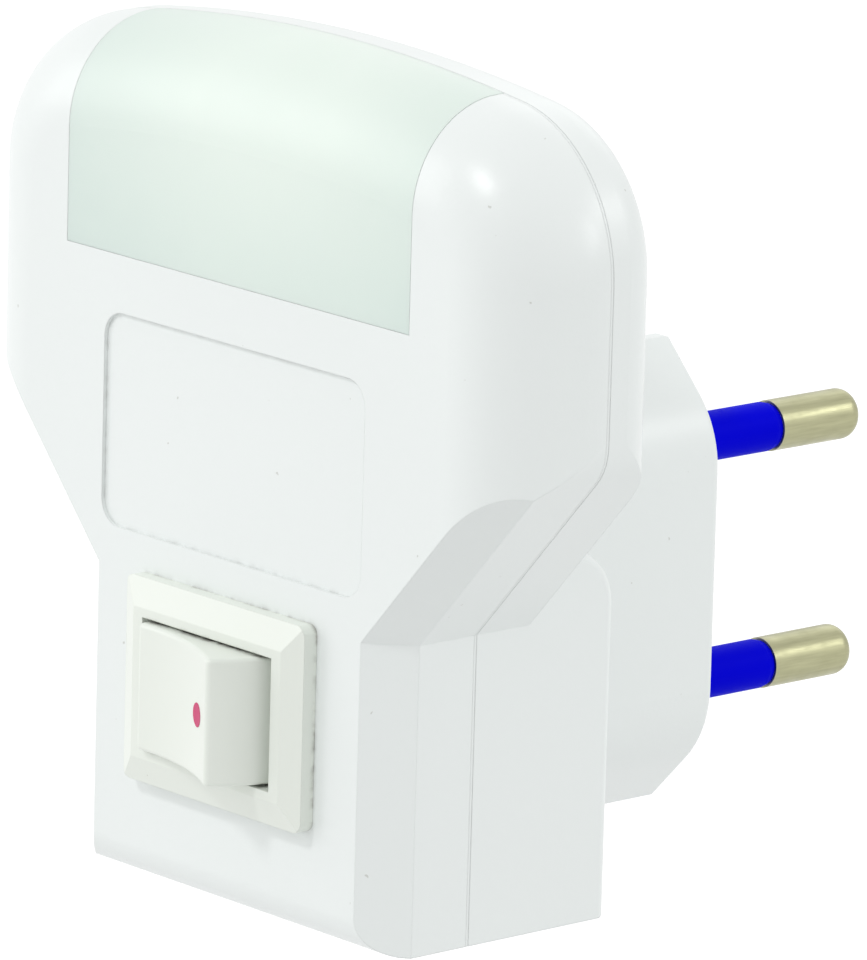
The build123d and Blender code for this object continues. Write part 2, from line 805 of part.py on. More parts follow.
# Common terminal: blade outside, and inside a rounded edge on which the lever rocks
with BuildPart() as common_terminal:
    half = terminal_thickness / 2
    with BuildSketch(Plane.XY.offset(switch_z - terminal_width / 2)):
        with Locations((0, -(blade_end + lever_pivot_depth) / 2)):
            Rectangle(terminal_thickness, lever_pivot_depth - blade_end)
        with Locations((0, -lever_pivot_depth)):
            Circle(half)
    extrude(amount=terminal_width)
    with BuildSketch(Plane.YZ.offset(-half)):
        with Locations((-blade_hole_depth, switch_z)):
            Circle(blade_hole / 2)
    extrude(amount=terminal_thickness, mode=Mode.SUBTRACT)
common_terminal.part.label = "common_terminal"
export_step(common_terminal.part, "parts/common_terminal.step")

# Load terminal: blade outside, foot with a fixed contact inside
with BuildPart() as load_terminal:
    outer_x = load_terminal_x - half
    foot_x = -contact_offset + contact_diameter / 2
    with BuildSketch(Plane.XY.offset(switch_z - terminal_width / 2)):
        with BuildLine():
            Polyline((outer_x, -blade_end), (outer_x, -foot_top), (foot_x, -foot_top),
                     (foot_x, -floor_depth), (outer_x + terminal_thickness, -floor_depth),
                     (outer_x + terminal_thickness, -blade_end), close=True)
        make_face()
    extrude(amount=terminal_width)
    with BuildSketch(Plane.YZ.offset(outer_x)):
        with Locations((-blade_hole_depth, switch_z)):
            Circle(blade_hole / 2)
    extrude(amount=terminal_thickness, mode=Mode.SUBTRACT)
    add(posts(lever_contact, contact_diameter, foot_top, foot_top + contact_height))
load_terminal.part.label = "load_terminal"
export_step(load_terminal.part, "parts/load_terminal.step")

# Where the rows of LEDs and diodes sit, and the holes for every component lead
led_middle = (led_count - 1) / 2
led_places = [((i - led_middle) * led_pitch, board_top - led_drop) for i in range(led_count)]
diode_places = [(first_diode[0] + i * diode_step, first_diode[1]) for i in range(diode_count)]
can_lead_place = (can_place[0] - can_length / 2 - can_lead_reach, can_place[1])
lead_places = []
for led_place in led_places:
    lead_places += pair(led_place, led_lead_pitch, (1, 0))
lead_places += pair(film_place, film_pitch, (1, 0))
lead_places += pair(can_lead_place, can_pitch, (0, 1))
for diode_place in diode_places:
    lead_places += pair(diode_place, diode_pitch, (0, 1))
lead_places += pair(fusible_place, fusible_pitch, (0, 1))
lead_places += pair(bleed_place, bleed_pitch, (0, 1))

with BuildPart() as circuit_board:
    with BuildSketch(depth_plane(board_back)):
        right_edge = [(board_foot, board_foot_z), (board_foot, board_step_z - board_side + board_foot),
                      (board_side, board_step_z), (board_side, board_top)]
        left_edge = [(-x, z) for x, z in reversed(right_edge)]
        with BuildLine():
            Polyline(*right_edge, *left_edge, close=True)
        make_face()
        with Locations(*board_pegs):
            Circle(board_peg_diameter / 2 + board_peg_gap, mode=Mode.SUBTRACT)
        with Locations(*lead_places):
            Circle(lead_wire / 2 + lead_gap, mode=Mode.SUBTRACT)
    extrude(amount=board_thickness)
circuit_board.part.label = "circuit_board"
export_step(circuit_board.part, "parts/circuit_board.step")

# Four white LEDs with wide flat domes
with BuildPart() as leds:
    add(posts(led_places, led_diameter, board_front, board_front + led_height))
    fillet(leds.edges().group_by(Axis.Y)[0], led_dome_radius)
    add(posts(led_places, led_flange_diameter, board_front, board_front + led_flange_height))
    for led_place in led_places:
        add(posts(pair(led_place, led_lead_pitch, (1, 0)), lead_wire, solder_end, board_front))
leds.part.label = "leds"
export_step(leds.part, "parts/leds.step")

# Boxed series capacitor
with BuildPart() as film_capacitor:
    with BuildSketch(depth_plane(board_front)):
        with Locations(film_place):
            Rectangle(film_width, film_height)
    extrude(amount=film_thickness)
    fillet(film_capacitor.edges().filter_by(Axis.Y), film_corner)
    add(posts(pair(film_place, film_pitch, (1, 0)), lead_wire, solder_end, board_front))
film_capacitor.part.label = "film_capacitor"
export_step(film_capacitor.part, "parts/film_capacitor.step")


def wire(points, bend):
    """A bare lead bent through the given points."""
    with BuildPart() as lead:
        with BuildLine() as path:
            FilletPolyline(*points, radius=bend)
        with BuildSketch(Plane(origin=path.line @ 0, z_dir=path.line % 0)):
            Circle(lead_wire / 2)
        sweep(path=path.line)
    return lead.part


def axial(place, direction, diameter, length, pitch):
    """A lying component: a cylinder on one lead that is bent into the board at both ends."""
    depth = board_front + seat_gap + diameter / 2
    x, z = place
    along = Vector(direction[0], 0, direction[1])
    centre = Vector(x, -depth, z)
    first, last = centre - along * (pitch / 2), centre + along * (pitch / 2)
    down = Vector(0, depth - solder_end, 0)
    with BuildPart() as component:
        with BuildSketch(Plane(origin=centre - along * (length / 2), z_dir=along)):
            Circle(diameter / 2)
        extrude(amount=length)
        fillet(component.edges().filter_by(GeomType.CIRCLE), body_round)
        add(wire([first + down, first, last, last + down], lead_bend))
    return component.part


with BuildPart() as smoothing_capacitor:
    can_depth = board_front + seat_gap + can_diameter / 2
    can_end = can_place[0] - can_length / 2
    with BuildSketch(Plane(origin=(can_end, -can_depth, can_place[1]), z_dir=(1, 0, 0))):
        Circle(can_diameter / 2)
    extrude(amount=can_length)
    fillet(smoothing_capacitor.edges().filter_by(GeomType.CIRCLE), body_round)
    for lead_x, lead_z in pair(can_lead_place, can_pitch, (0, 1)):
        add(wire([(lead_x, -solder_end, lead_z), (lead_x, -can_depth, lead_z),
                  (can_end + lead_bend, -can_depth, lead_z)], lead_bend))
smoothing_capacitor.part.label = "smoothing_capacitor"
export_step(smoothing_capacitor.part, "parts/smoothing_capacitor.step")

with BuildPart() as rectifier_diodes:
    for diode_place in diode_places:
        add(axial(diode_place, (0, 1), diode_diameter, diode_length, diode_pitch))
rectifier_diodes.part.label = "rectifier_diodes"
export_step(rectifier_diodes.part, "parts/rectifier_diodes.step")

with BuildPart() as fusible_resistor:
    add(axial(fusible_place, (0, 1), fusible_diameter, fusible_length, fusible_pitch))
fusible_resistor.part.label = "fusible_resistor"
export_step(fusible_resistor.part, "parts/fusible_resistor.step")

with BuildPart() as bleed_resistor:
    add(axial(bleed_place, (0, 1), bleed_diameter, bleed_length, bleed_pitch))
bleed_resistor.part.label = "bleed_resistor"
export_step(bleed_resistor.part, "parts/bleed_resistor.step")


def lead(points):
    """An insulated lead through the given points, with bends as wide as its runs allow."""
    corners = [Vector(*point) for point in points]
    bends = []
    for before, corner, after in zip(corners, corners[1:], corners[2:]):
        turn = (corner - before).get_angle(after - corner)
        shorter = min((corner - before).length, (after - corner).length)
        bends.append(run_share * shorter / tan(radians(turn / 2)))
    with BuildPart() as cable:
        with BuildLine() as path:
            FilletPolyline(*corners, radius=bends)
        with BuildSketch(Plane(origin=path.line @ 0, z_dir=path.line % 0)):
            Circle(cable_diameter / 2)
        sweep(path=path.line)
    section = pi * (cable_diameter / 2) ** 2
    fill = cable.part.volume / (section * path.wires()[0].length)
    print("bend radii", [round(bend, 1) for bend in bends], "volume over section and length", round(fill, 4))
    return cable.part


# Live: lower pin to the switch's common blade
with BuildPart() as lead_line:
    add(lead([(0, -pin_end_depth, -pin_z), (0, -pin_end_depth - line_run, -pin_z),
              (0, -blade_end + line_run, switch_z), (0, -blade_end, switch_z)]))
lead_line.part.label = "lead_line"
export_step(lead_line.part, "parts/lead_line.step")

# Switched: upper edge of the load blade to the board's lower edge
with BuildPart() as lead_switched:
    blade_top = switch_z + terminal_width / 2
    add(lead([(load_terminal_x, -blade_hole_depth, blade_top),
              (load_terminal_x, -blade_hole_depth, blade_top + switched_rise),
              (load_terminal_x, -blade_hole_depth - switched_slant, switched_pad_z),
              (load_terminal_x, -board_back, switched_pad_z)]))
lead_switched.part.label = "lead_switched"
export_step(lead_switched.part, "parts/lead_switched.step")

# Neutral: upper pin to the board
with BuildPart() as lead_neutral:
    add(lead([(0, -pin_end_depth, pin_z), (0, -pin_end_depth - neutral_pin_run, pin_z),
              (0, -board_back + neutral_pad_run, neutral_pad_z), (0, -board_back, neutral_pad_z)]))
lead_neutral.part.label = "lead_neutral"
export_step(lead_neutral.part, "parts/lead_neutral.step")
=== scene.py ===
import json
from math import cos, pi, radians, sin

import bmesh
import bpy
from mathutils import Matrix, Vector


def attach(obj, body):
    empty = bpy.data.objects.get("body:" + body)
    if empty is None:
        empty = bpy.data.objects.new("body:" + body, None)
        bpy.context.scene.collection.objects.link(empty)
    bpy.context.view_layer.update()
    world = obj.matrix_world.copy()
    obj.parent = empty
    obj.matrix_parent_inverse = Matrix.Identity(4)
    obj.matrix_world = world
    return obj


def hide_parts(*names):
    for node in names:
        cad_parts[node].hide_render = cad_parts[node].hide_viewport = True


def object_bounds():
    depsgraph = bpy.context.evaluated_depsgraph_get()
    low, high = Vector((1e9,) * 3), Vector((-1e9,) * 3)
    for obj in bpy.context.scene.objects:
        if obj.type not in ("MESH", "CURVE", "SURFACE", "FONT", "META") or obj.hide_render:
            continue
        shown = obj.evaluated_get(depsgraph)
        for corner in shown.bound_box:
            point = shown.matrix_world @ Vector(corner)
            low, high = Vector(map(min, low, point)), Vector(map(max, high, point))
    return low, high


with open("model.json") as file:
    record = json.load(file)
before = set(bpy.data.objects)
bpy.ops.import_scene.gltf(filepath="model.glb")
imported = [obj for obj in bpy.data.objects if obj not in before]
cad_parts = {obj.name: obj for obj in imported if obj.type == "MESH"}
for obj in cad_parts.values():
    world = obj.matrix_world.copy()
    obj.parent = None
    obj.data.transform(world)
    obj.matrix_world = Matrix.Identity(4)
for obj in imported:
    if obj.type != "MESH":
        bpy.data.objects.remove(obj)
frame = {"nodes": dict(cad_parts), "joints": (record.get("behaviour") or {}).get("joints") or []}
cad_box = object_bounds()

MM = 0.001


# ---------------------------------------------------------------- node helpers

materials = {}
ray_samples = 6  # of the nodes that look at the surface around a point


def new_material(name):
    """A named node material: its tree, its shader and the object's own coordinates in metres."""
    material = bpy.data.materials.new(name)
    materials[name] = material
    material.use_nodes = True
    tree = material.node_tree
    tree.nodes.clear()
    output = tree.nodes.new("ShaderNodeOutputMaterial")
    shader = tree.nodes.new("ShaderNodeBsdfPrincipled")
    tree.links.new(shader.outputs["BSDF"], output.inputs["Surface"])
    coordinates = tree.nodes.new("ShaderNodeTexCoord").outputs["Object"]
    return tree, shader, coordinates


def noise(tree, coordinates, size, detail, stretch=(1, 1, 1)):
    """Noise whose grains are about this many metres across, drawn out along an axis by stretch."""
    mapping = tree.nodes.new("ShaderNodeMapping")
    mapping.inputs["Scale"].default_value = [1 / factor for factor in stretch]
    tree.links.new(coordinates, mapping.inputs["Vector"])
    texture = tree.nodes.new("ShaderNodeTexNoise")
    texture.inputs["Scale"].default_value = 1 / size
    texture.inputs["Detail"].default_value = detail
    tree.links.new(mapping.outputs["Vector"], texture.inputs["Vector"])
    return texture.outputs["Fac"]


def spread(tree, value, low, high, start=0.3, end=0.7):
    """The value's range from start to end stretched over low to high."""
    node = tree.nodes.new("ShaderNodeMapRange")
    node.inputs["From Min"].default_value = start
    node.inputs["From Max"].default_value = end
    node.inputs["To Min"].default_value = low
    node.inputs["To Max"].default_value = high
    tree.links.new(value, node.inputs["Value"])
    return node.outputs["Result"]


def calculate(tree, operation, first, second):
    """The result of a maths operation on two values, each of them a number or a socket."""
    node = tree.nodes.new("ShaderNodeMath")
    node.operation = operation
    for socket, value in zip(node.inputs, (first, second)):
        if isinstance(value, bpy.types.NodeSocket):
            tree.links.new(value, socket)
        else:
            socket.default_value = value
    return node.outputs[0]


def mask_colour(tree, mask, base, over):
    """One colour laid over another where the mask says; each is three numbers or a socket."""
    node = tree.nodes.new("ShaderNodeMix")
    node.data_type = "RGBA"
    tree.links.new(mask, node.inputs["Factor"])
    for socket, colour in ((node.inputs[6], base), (node.inputs[7], over)):
        if isinstance(colour, bpy.types.NodeSocket):
            tree.links.new(colour, socket)
        else:
            socket.default_value = (*colour, 1)
    return node.outputs[2]


def blend_colours(tree, value, first, second):
    """From the first colour to the second as the value goes through its middle range."""
    return mask_colour(tree, spread(tree, value, 0, 1), first, second)


def bump(tree, shader, height, depth, soft_edge=0.0):
    """Relief this many metres deep, over edges that look rounded to this radius."""
    node = tree.nodes.new("ShaderNodeBump")
    node.inputs["Strength"].default_value = 1
    node.inputs["Distance"].default_value = depth
    tree.links.new(height, node.inputs["Height"])
    if soft_edge:
        rounding = tree.nodes.new("ShaderNodeBevel")
        rounding.samples = ray_samples
        rounding.inputs["Radius"].default_value = soft_edge
        tree.links.new(rounding.outputs["Normal"], node.inputs["Normal"])
    tree.links.new(node.outputs["Normal"], shader.inputs["Normal"])


def shade(colour, factor):
    """The colour made darker by a factor below 1."""
    return tuple(channel * factor for channel in colour)


# --------------------------------------------------------------------- recipes

plastic_ior = 1.5

flow_size = 22 * MM
gloss_size = 6 * MM
gloss_change = 0.02
gloss_range = (0.1, 0.9)

speck_size = 0.9 * MM
speck_range = (0.770, 0.79)  # only the few highest spots of the noise
speck_colour = (0.30, 0.28, 0.22)

# Painted shade with dirt: corners and gaps that close in are darkened in patches, standing in for
# their shade as well as for dirt
corner_reach = 0.5 * MM
corner_range = (0.45, 0.9)  # from closed in to open
shade_and_dirt_patch_size = 1.1 * MM
shade_and_dirt_patch_range = (0.42, 0.66)
shade_and_dirt_colour = (0.20, 0.19, 0.16)


def moulded(name, colour, roughness, grain, depth, uneven=0.03, shine=0.5, specks=0.0,
            soft_edge=0.0, corner_shade_and_dirt=0.0):
    """Injection-moulded plastic: grain over faint flow marks, specks, and dirt with painted shade
    in its corners.
    """
    tree, shader, coordinates = new_material(name)
    flow = noise(tree, coordinates, flow_size, detail=0)
    body = blend_colours(tree, flow, colour, shade(colour, 1 - uneven))
    if specks:
        spots = noise(tree, coordinates, speck_size, detail=2)
        body = mask_colour(tree, spread(tree, spots, 0, specks, *speck_range), body, speck_colour)
    # painted shade and dirt: darker in patches where corners and gaps close in
    if corner_shade_and_dirt:
        corners = tree.nodes.new("ShaderNodeAmbientOcclusion")
        corners.samples = ray_samples
        corners.inputs["Distance"].default_value = corner_reach
        closeness = spread(tree, corners.outputs["AO"], 1, 0, *corner_range)
        patches = noise(tree, coordinates, shade_and_dirt_patch_size, detail=4)
        shade_and_dirt = spread(tree, patches, 0, corner_shade_and_dirt, *shade_and_dirt_patch_range)
        body = mask_colour(tree, calculate(tree, "MULTIPLY", closeness, shade_and_dirt), body, shade_and_dirt_colour)
    tree.links.new(body, shader.inputs["Base Color"])
    gloss = spread(tree, noise(tree, coordinates, gloss_size, detail=0),
                   roughness - gloss_change, roughness + gloss_change, *gloss_range)
    tree.links.new(gloss, shader.inputs["Roughness"])
    bump(tree, shader, noise(tree, coordinates, grain, detail=3), depth, soft_edge)
    shader.inputs["IOR"].default_value = plastic_ior
    shader.inputs["Specular IOR Level"].default_value = shine


# Painted light on the lens: its colour is lighter around a centre and darker, as painted shade,
# towards its edges
lens_cloud_size = 7 * MM
lens_cloud_share, lens_cloud_shade = 0.25, 0.96
lens_gloss_change = 0.04
lens_lit_from = 0.75  # where 1 is the centre and 0 the end of its reach
lens_milk_radii = (1.0, 1.1, 1.0)


def frosted(name, clear, edge, centre, reach, roughness, grain, depth, milk, milk_depth):
    """Milky lens plastic with painted light: lighter around its centre, with painted shade darker
    towards this reach.
    """
    tree, shader, coordinates = new_material(name)
    mapping = tree.nodes.new("ShaderNodeMapping")
    mapping.inputs["Scale"].default_value = [1 / length for length in reach]
    mapping.inputs["Location"].default_value = [-c / length for c, length in zip(centre, reach)]
    tree.links.new(coordinates, mapping.inputs["Vector"])
    ball = tree.nodes.new("ShaderNodeTexGradient")
    ball.gradient_type = "SPHERICAL"
    tree.links.new(mapping.outputs["Vector"], ball.inputs["Vector"])
    # painted light in the middle, painted shade towards the edges
    closeness = spread(tree, ball.outputs["Fac"], 0, 1, 0, lens_lit_from)
    lit = mask_colour(tree, closeness, edge, clear)
    cloud = noise(tree, coordinates, lens_cloud_size, detail=2)
    body = mask_colour(tree, spread(tree, cloud, 0, lens_cloud_share), lit,
                       shade(clear, lens_cloud_shade))
    tree.links.new(body, shader.inputs["Base Color"])
    gloss = spread(tree, cloud, roughness - lens_gloss_change, roughness + lens_gloss_change)
    tree.links.new(gloss, shader.inputs["Roughness"])
    bump(tree, shader, noise(tree, coordinates, grain, detail=3), depth)
    shader.inputs["Subsurface Weight"].default_value = milk
    shader.inputs["Subsurface Radius"].default_value = lens_milk_radii
    shader.inputs["Subsurface Scale"].default_value = milk_depth
    shader.inputs["IOR"].default_value = plastic_ior


smear_per_mark = 6
smear_gloss = (-0.06, 0.08)


def drawn_metal(name, colour, roughness, size, stretch, depth, worn=0.86):
    """Turned or rolled metal with fine marks drawn out along an axis."""
    tree, shader, coordinates = new_material(name)
    shader.inputs["Metallic"].default_value = 1
    marks = noise(tree, coordinates, size, detail=5, stretch=stretch)
    tree.links.new(blend_colours(tree, marks, colour, shade(colour, worn)),
                   shader.inputs["Base Color"])
    smear = noise(tree, coordinates, smear_per_mark * size, detail=3)
    tree.links.new(spread(tree, smear, *(roughness + change for change in smear_gloss)),
                   shader.inputs["Roughness"])
    bump(tree, shader, marks, depth)


fibre_size, fibre_stretch = 0.5 * MM, 6
fibre_shade, cross_fibre_shade, cross_fibre_share = 0.8, 0.66, 0.5
fibre_gloss_change = 0.08


def laminate(name, colour, roughness, depth):
    """Phenolic paper board: short fibres both ways in a mottled resin."""
    tree, shader, coordinates = new_material(name)
    along, across = (noise(tree, coordinates, fibre_size, detail=5, stretch=stretch)
                     for stretch in ((fibre_stretch, 1, 1), (1, 1, fibre_stretch)))
    resin = blend_colours(tree, along, colour, shade(colour, fibre_shade))
    body = mask_colour(tree, spread(tree, across, 0, cross_fibre_share), resin,
                       shade(colour, cross_fibre_shade))
    tree.links.new(body, shader.inputs["Base Color"])
    gloss = spread(tree, along, roughness - fibre_gloss_change, roughness + fibre_gloss_change)
    tree.links.new(gloss, shader.inputs["Roughness"])
    bump(tree, shader, along, depth)


# ------------------------------------------------------------------- materials

# The cover and switch plastics carry painted shade with dirt in their corners and gaps; the
# switch's is strongest, around the rocker
moulded("cover_plastic", (0.842, 0.880, 0.868), roughness=0.32, grain=0.35 * MM, depth=0.006 * MM,
        uneven=0.015, specks=0.35, soft_edge=0.16 * MM, corner_shade_and_dirt=0.25)
# The lens's clear colour is its painted lit middle, and its edge colour is the painted shade at
# its edges
frosted("lens_plastic", clear=(0.800, 0.888, 0.822), edge=(0.64, 0.745, 0.70),
        centre=(2 * MM, -40 * MM, 41 * MM), reach=(30 * MM, 60 * MM, 20 * MM), roughness=0.42,
        grain=0.25 * MM, depth=0.004 * MM, milk=0.15, milk_depth=0.8 * MM)
moulded("switch_plastic", (0.816, 0.856, 0.794), roughness=0.31, grain=0.3 * MM, depth=0.003 * MM,
        uneven=0.015, specks=0.3, soft_edge=0.10 * MM, corner_shade_and_dirt=0.9)
drawn_metal("pin_metal", (0.43, 0.425, 0.262), roughness=0.36, size=0.22 * MM, stretch=(1, 14, 1),
            depth=0.0012 * MM, worn=0.84)
moulded("sleeve_plastic", (0.0004, 0.0004, 0.72), roughness=0.48, grain=0.3 * MM,
        depth=0.004 * MM, uneven=0.10, shine=0.02)
moulded("inner_plastic", (0.78, 0.78, 0.73), roughness=0.40, grain=0.3 * MM, depth=0.006 * MM)
drawn_metal("screw_steel", (0.60, 0.61, 0.64), roughness=0.36, size=0.15 * MM, stretch=(1, 5, 1),
            depth=0.002 * MM, worn=0.8)
drawn_metal("spring_steel", (0.42, 0.42, 0.44), roughness=0.38, size=0.08 * MM,
            stretch=(5, 1, 5), depth=0.001 * MM)
drawn_metal("contact_metal", (0.74, 0.58, 0.28), roughness=0.36, size=0.10 * MM,
            stretch=(8, 1, 1), depth=0.002 * MM)
laminate("board_laminate", (0.42, 0.29, 0.11), roughness=0.5, depth=0.01 * MM)
moulded("led_resin", (0.82, 0.76, 0.36), roughness=0.16, grain=0.8 * MM, depth=0.002 * MM,
        uneven=0.25)
moulded("film_case", (0.60, 0.40, 0.04), roughness=0.32, grain=0.3 * MM, depth=0.006 * MM,
        uneven=0.08)
moulded("can_metal", (0.020, 0.024, 0.05), roughness=0.32, grain=0.4 * MM, depth=0.004 * MM,
        uneven=0.15)
moulded("diode_case", (0.012, 0.012, 0.013), roughness=0.42, grain=0.2 * MM, depth=0.008 * MM,
        uneven=0.2)
moulded("resistor_body", (0.46, 0.31, 0.16), roughness=0.36, grain=0.5 * MM, depth=0.01 * MM,
        uneven=0.12)
moulded("lead_brown", (0.11, 0.035, 0.012), roughness=0.45, grain=0.3 * MM, depth=0.004 * MM,
        uneven=0.12)
moulded("dot_ink", (0.60, 0.026, 0.15), roughness=0.45, grain=0.15 * MM, depth=0.004 * MM,
        uneven=0.12, shine=0.25)
moulded("lead_blue", (0.01, 0.05, 0.42), roughness=0.45, grain=0.3 * MM, depth=0.004 * MM,
        uneven=0.12)

for item in frame["nodes"].values():
    for slot in item.material_slots:
        chosen = slot.material.name.split(".")[0]
        if chosen in materials:
            slot.material = materials[chosen]


# ---------------------------------------------- pieces that the solids leave out


def add_piece(name, mesh, finish, body="housing"):
    """A new object from a bmesh, with its material, riding on a body."""
    data = bpy.data.meshes.new(name)
    mesh.to_mesh(data)
    mesh.free()
    data.materials.append(materials[finish])
    piece = bpy.data.objects.new(name, data)
    bpy.context.scene.collection.objects.link(piece)
    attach(piece, body)
    return piece


def copy_of(node, name, finish):
    """A copy of one of the housing's nodes that takes the node's place."""
    mesh = bmesh.new()
    mesh.from_mesh(frame["nodes"][node].data)
    piece = add_piece(name, mesh, finish)
    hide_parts(node)
    return piece


def band(mesh, first, second):
    """A band of quads between two closed loops of as many vertices."""
    for i in range(len(first)):
        mesh.faces.new((first[i - 1], second[i - 1], second[i], first[i]))


# Lens: its pane is grown towards the edges of its opening, so the joint is a hairline
lens_half, lens_bottom = 19.55 * MM, 27.3 * MM
hairline_growth = 0.09 * MM
on_plane = 0.002 * MM

lens = copy_of("diffuser_lens", "frosted_lens", "lens_plastic")
for vertex in lens.data.vertices:
    if abs(abs(vertex.co.x) - lens_half) < on_plane:
        vertex.co.x += hairline_growth if vertex.co.x > 0 else -hairline_growth
    if abs(vertex.co.z - lens_bottom) < on_plane:
        vertex.co.z -= hairline_growth

# Joint between the shells: a ring that fills the parting groove to just below the surface
seam_y = -34.8 * MM
groove_half = 0.12 * MM
beside_groove = 0.03 * MM  # from the groove's edge to where its shell is measured
ring_inset, ring_floor = 0.014 * MM, 0.19 * MM
sharpest_mitre = 0.5  # cosine at which the point of a mitre stops growing


def outline_at(node, y):
    """The widest closed outline of a node where a plane across its depth cuts it, as (x, z)."""
    mesh = bmesh.new()
    mesh.from_mesh(frame["nodes"][node].data)
    bmesh.ops.remove_doubles(mesh, verts=mesh.verts, dist=0.0005 * MM)
    cut = bmesh.ops.bisect_plane(mesh, geom=[*mesh.verts, *mesh.edges, *mesh.faces],
                                 dist=0.0001 * MM, plane_co=(0, y, 0),
                                 plane_no=(0, 1, 0))["geom_cut"]
    edges = dict.fromkeys(item for item in cut if isinstance(item, bmesh.types.BMEdge))
    loops = []
    while edges:
        start, corner = edges.popitem()[0].verts
        loop = [start.co.copy()]
        while corner is not start:
            loop.append(corner.co.copy())
            onward = next((edge for edge in corner.link_edges if edge in edges), None)
            if onward is None:
                break
            del edges[onward]
            corner = onward.other_vert(corner)
        loops.append([Vector((co.x, co.z)) for co in loop])
    mesh.free()
    return max(loops, key=lambda loop: max(co.x for co in loop) - min(co.x for co in loop))


def drawn_in(points, distance):
    """The closed outline moved inwards by this distance."""
    count = len(points)
    area = sum(points[i - 1].cross(points[i]) for i in range(count))
    side = 1 if area > 0 else -1
    result = []
    for i, point in enumerate(points):
        before = (point - points[i - 1]).normalized()
        after = (points[(i + 1) % count] - point).normalized()
        inward = [Vector((-way.y, way.x)) * side for way in (before, after)]
        mitre = (inward[0] + inward[1]).normalized()
        result.append(point + mitre * distance / max(mitre.dot(inward[0]), sharpest_mitre))
    return result


outline = outline_at("rear_cover", seam_y + groove_half + beside_groove)
mesh = bmesh.new()
sections = []
for outer, inner in zip(drawn_in(outline, ring_inset), drawn_in(outline, ring_floor)):
    sections.append([mesh.verts.new((co.x, seam_y + y, co.y))
                     for co, y in ((outer, -groove_half), (outer, groove_half),
                                   (inner, groove_half), (inner, -groove_half))])
for i, section in enumerate(sections):
    band(mesh, sections[i - 1], section)
bmesh.ops.recalc_face_normals(mesh, faces=mesh.faces)
add_piece("parting_line", mesh, "cover_plastic")

# Printed dot on the rocker, laid on its dished front
dot_middle = 3.3 * MM  # from the rocker's middle towards its raised end
dot_radius = 0.92 * MM
dot_lift = 0.03 * MM
dot_rings, dot_sectors = 4, 40
before_rocker = -20 * MM  # where the rays onto its front start

hinge = next(joint for joint in frame["joints"] if joint["name"] == "rocker_tilt")
rest_tilt = radians(hinge["range_deg"][1] / 2)  # the rocker is level halfway through its range
to_rest = Matrix.Translation(hinge["pos_m"]) @ Matrix.Rotation(-rest_tilt, 4, "Z")
inwards = to_rest.to_3x3() @ Vector((0, 1, 0))


def on_rocker(x, z):
    """The point of the rocker's front over this place in its level frame, a little proud of it."""
    start = to_rest @ Vector((x, before_rocker, z))
    _, place, normal, _ = frame["nodes"]["rocker"].ray_cast(start, inwards)
    return place + normal * dot_lift


mesh = bmesh.new()
middle = mesh.verts.new(on_rocker(dot_middle, 0))
angles = [2 * pi * k / dot_sectors for k in range(dot_sectors)]
rings = []
for radius in (dot_radius * (k + 1) / dot_rings for k in range(dot_rings)):
    rings.append([mesh.verts.new(on_rocker(dot_middle + radius * cos(angle), radius * sin(angle)))
                  for angle in angles])
for k in range(dot_sectors):
    mesh.faces.new((middle, rings[0][k - 1], rings[0][k]))
skirt = [mesh.verts.new(vertex.co + inwards * 2 * dot_lift) for vertex in rings[-1]]
for inner, outer in zip(rings, [*rings[1:], skirt]):
    band(mesh, inner, outer)
mesh.faces.new(skirt)
bmesh.ops.recalc_face_normals(mesh, faces=mesh.faces)
add_piece("printed_dot", mesh, "dot_ink", "rocker")

# Cover screws with a cross recess in each head, cut one slot after the other
screw_places = [(26 * MM, 26 * MM), (-26 * MM, 26 * MM),
                (12.25 * MM, -14.9 * MM), (-12.25 * MM, -14.9 * MM)]
screw_reach = 3 * MM  # a screw's vertices lie within this of its axis
first_turn, turn_step = 17, 43  # degrees, as the screws happen to have stopped
mouth_span, mouth_width, mouth_rise = 3.24 * MM, 0.901 * MM, 0.1 * MM
foot_span, foot_width, foot_depth = 1.2 * MM, 0.45 * MM, 1.3 * MM

screws = copy_of("cover_screws", "cross_head_screws", "screw_steel")
head_backs = [max(v.co.y for v in screws.data.vertices
                  if (v.co.x - x) ** 2 + (v.co.z - z) ** 2 < screw_reach ** 2)
              for x, z in screw_places]
for slot_turn in (0, pi / 2):
    mesh = bmesh.new()
    for index, ((x, z), head_back) in enumerate(zip(screw_places, head_backs)):
        angle = slot_turn + radians(first_turn + turn_step * index)
        mouth, foot = (
            [mesh.verts.new((x + u * cos(angle) - v * sin(angle), head_back + y,
                             z + u * sin(angle) + v * cos(angle)))
             for u, v in ((-span / 2, -width / 2), (span / 2, -width / 2),
                          (span / 2, width / 2), (-span / 2, width / 2))]
            for span, width, y in ((mouth_span, mouth_width, mouth_rise),
                                   (foot_span, foot_width, -foot_depth)))
        mesh.faces.new(mouth)
        mesh.faces.new(foot[::-1])
        band(mesh, mouth, foot)
    bmesh.ops.recalc_face_normals(mesh, faces=mesh.faces)
    data = bpy.data.meshes.new("recess_cutter")
    mesh.to_mesh(data)
    mesh.free()
    cutter = bpy.data.objects.new("recess_cutter", data)
    bpy.context.scene.collection.objects.link(cutter)
    recess = screws.modifiers.new("recess", "BOOLEAN")
    recess.operation = "DIFFERENCE"
    recess.solver = "EXACT"
    recess.object = cutter
    bpy.context.view_layer.update()
    whole = screws.evaluated_get(bpy.context.evaluated_depsgraph_get())
    with_slots = bpy.data.meshes.new_from_object(whole)
    screws.modifiers.clear()
    screws.data = with_slots
    bpy.data.objects.remove(cutter)


# -------------------------------------------------------------- floor and world

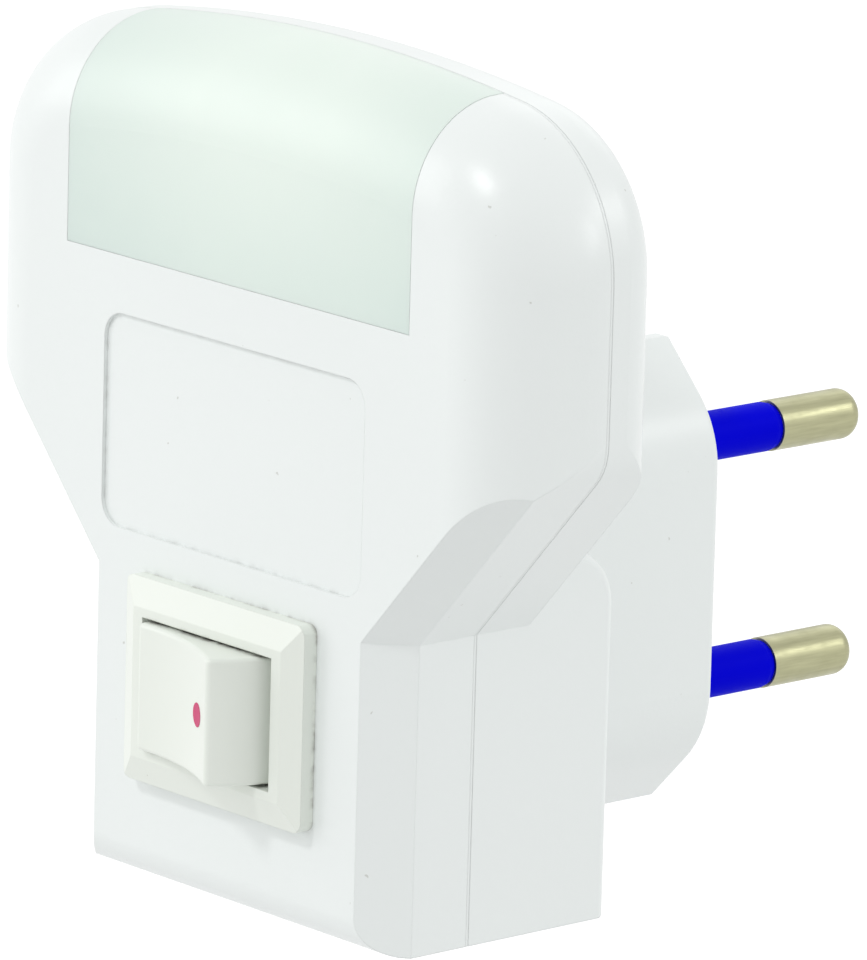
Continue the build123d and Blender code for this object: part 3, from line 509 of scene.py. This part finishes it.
def seen_white(tree, strength):
    """Strength of white that only camera, mirror and see-through rays meet."""
    rays = tree.nodes.new("ShaderNodeLightPath").outputs
    seen = calculate(tree, "MAXIMUM", rays["Is Camera Ray"], rays["Is Glossy Ray"])
    seen = calculate(tree, "MAXIMUM", seen, rays["Is Transmission Ray"])
    return calculate(tree, "MULTIPLY", seen, strength)


floor_drop = 45 * MM
floor_half = 2.0
floor_colour = (0.75, 0.75, 0.75)
floor_roughness = 0.9
floor_glow = 0.4
floor_z = cad_box[0][2] - floor_drop

data = bpy.data.meshes.new("floor")
data.from_pydata([(-floor_half, -floor_half, floor_z), (floor_half, -floor_half, floor_z),
                  (floor_half, floor_half, floor_z), (-floor_half, floor_half, floor_z)],
                 [], [(0, 1, 2, 3)])
floor = bpy.data.objects.new("floor", data)
bpy.context.scene.collection.objects.link(floor)
tree, shader, _ = new_material("floor_white")
shader.inputs["Base Color"].default_value = (*floor_colour, 1)
shader.inputs["Roughness"].default_value = floor_roughness
shader.inputs["Emission Color"].default_value = (1, 1, 1, 1)
tree.links.new(seen_white(tree, floor_glow), shader.inputs["Emission Strength"])
data.materials.append(materials["floor_white"])

ambient = 0.75
world = bpy.data.worlds.new("studio")
world.use_nodes = True
tree = world.node_tree
background = tree.nodes["Background"]
background.inputs["Color"].default_value = (1, 1, 1, 1)
tree.links.new(calculate(tree, "ADD", seen_white(tree, 1 - ambient), ambient),
               background.inputs["Strength"])
bpy.context.scene.world = world


# ------------------------------------------------------------- lamps and camera

def towards(azimuth, elevation):
    """The direction to a place around the part; azimuth 0 is the front, 90 the right side."""
    azimuth, elevation = radians(azimuth), radians(elevation)
    return Vector((sin(azimuth) * cos(elevation), -cos(azimuth) * cos(elevation), sin(elevation)))


# Square lamps that face the frame's origin
lamp_distance = 0.9
for name, azimuth, elevation, size, power in (("key_box", -5, 45, 0.12, 1.35),
                                              ("left_box", -50, 20, 0.5, 1.35),
                                              ("right_box", 115, 22, 0.22, 0.8),
                                              ("rear_box", 137, 30, 0.2, 0.6),
                                              ("far_box", -150, 35, 0.5, 0.5)):
    data = bpy.data.lights.new(name, "AREA")
    data.size = size
    data.energy = power
    lamp = bpy.data.objects.new(name, data)
    away = towards(azimuth, elevation)
    lamp.location = away * lamp_distance
    lamp.rotation_euler = away.to_track_quat("Z", "Y").to_euler()
    bpy.context.scene.collection.objects.link(lamp)

# The camera as it was fitted to the photograph
view_azimuth = 48.743
view_elevation = 13.420
view_roll = 1.568
view_distance = 755.61 * MM
view_target = Vector((-13.075, -11.849, 5.684)) * MM
focal_length = 367.07
sensor_height = 36.0

back = towards(view_azimuth, view_elevation)
level = Vector((cos(radians(view_azimuth)), sin(radians(view_azimuth)), 0))
upright = back.cross(level)
roll = radians(view_roll)
right = level * cos(roll) + upright * sin(roll)
up = upright * cos(roll) - level * sin(roll)
camera_data = bpy.data.cameras.new("camera")
camera_data.sensor_width = sensor_height
camera_data.lens = focal_length
camera = bpy.data.objects.new("camera", camera_data)
camera.matrix_world = Matrix.Translation(view_target + back * view_distance) @ Matrix(
    (right, up, back)).transposed().to_4x4()
bpy.context.scene.collection.objects.link(camera)
bpy.context.scene.camera = camera
bpy.context.scene.view_settings.view_transform = "Standard"
